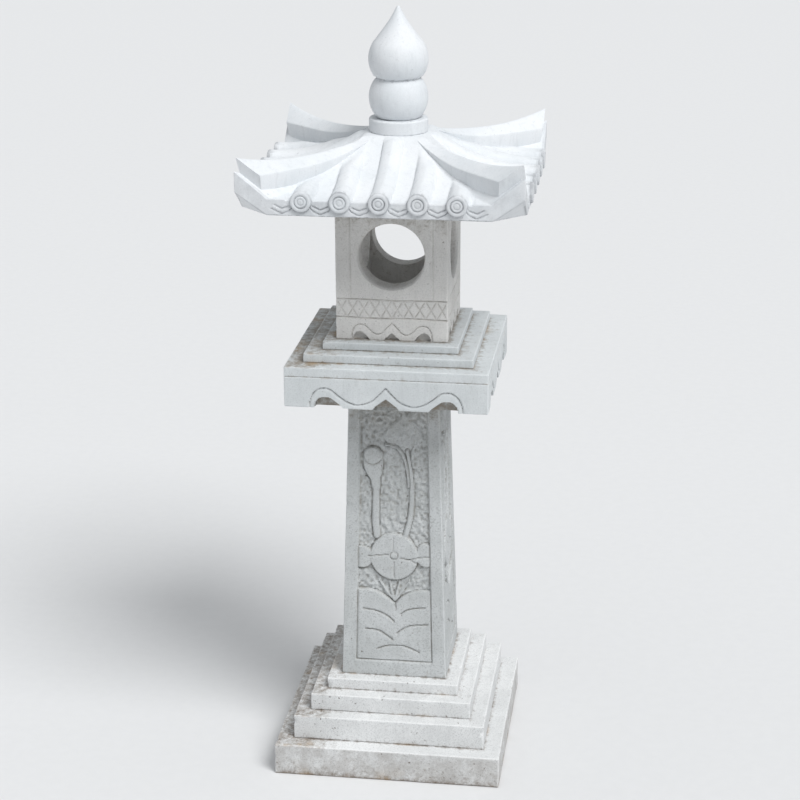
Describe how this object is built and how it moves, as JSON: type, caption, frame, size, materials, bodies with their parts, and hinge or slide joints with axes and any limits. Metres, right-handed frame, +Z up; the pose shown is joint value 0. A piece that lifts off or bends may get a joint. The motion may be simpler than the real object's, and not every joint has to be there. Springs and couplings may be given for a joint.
{
  "type": "stone lantern",
  "caption": "Carved stone garden lantern: stepped base, tapered panelled post, scalloped platform, light box with round windows, tiled hip roof and jewel finial.",
  "frame": {"origin": "centre of the underside of the bottom slab", "axes": "+Z up, +X to the right and +Y to the back of one of the four alike faces"},
  "size_m": [0.536, 0.536, 1.5005],
  "materials": {
    "base_stone": "sawn and weathered grey granite",
    "post_stone": "fine dressed grey granite",
    "platform_stone": "fine dressed granite, weathered",
    "box_stone": "fine dressed warm grey granite",
    "roof_stone": "honed white granite",
    "dowel_steel": "plain stainless bar"
  },
  "bodies": {
    "base": {"base_slab": "base_stone", "base_step_lower": "base_stone", "base_step_middle": "base_stone", "base_step_upper": "base_stone", "base_dowels": "dowel_steel"},
    "post": {"post": "post_stone"},
    "platform": {"platform_apron": "platform_stone", "platform_cap": "platform_stone", "platform_step_lower": "platform_stone", "platform_step_upper": "platform_stone", "platform_dowel": "dowel_steel"},
    "light_box": {"light_box": "box_stone"},
    "roof": {"roof": "roof_stone"},
    "finial": {"finial_collar": "roof_stone", "finial_jewel": "roof_stone", "finial_dowel": "dowel_steel"}
  },
  "joints": [
    {"name": "post_lift", "type": "slide", "parent": "base", "child": "post", "axis": [0, 0, 1], "range_m": [0, 0.1]},
    {"name": "platform_lift", "type": "slide", "parent": "post", "child": "platform", "axis": [0, 0, 1], "range_m": [0, 0.1]},
    {"name": "light_box_lift", "type": "slide", "parent": "platform", "child": "light_box", "axis": [0, 0, 1], "range_m": [0, 0.1]},
    {"name": "roof_lift", "type": "slide", "parent": "light_box", "child": "roof", "axis": [0, 0, 1], "range_m": [0, 0.15]},
    {"name": "finial_lift", "type": "slide", "parent": "roof", "child": "finial", "axis": [0, 0, 1], "range_m": [0, 0.1]}
  ]
}
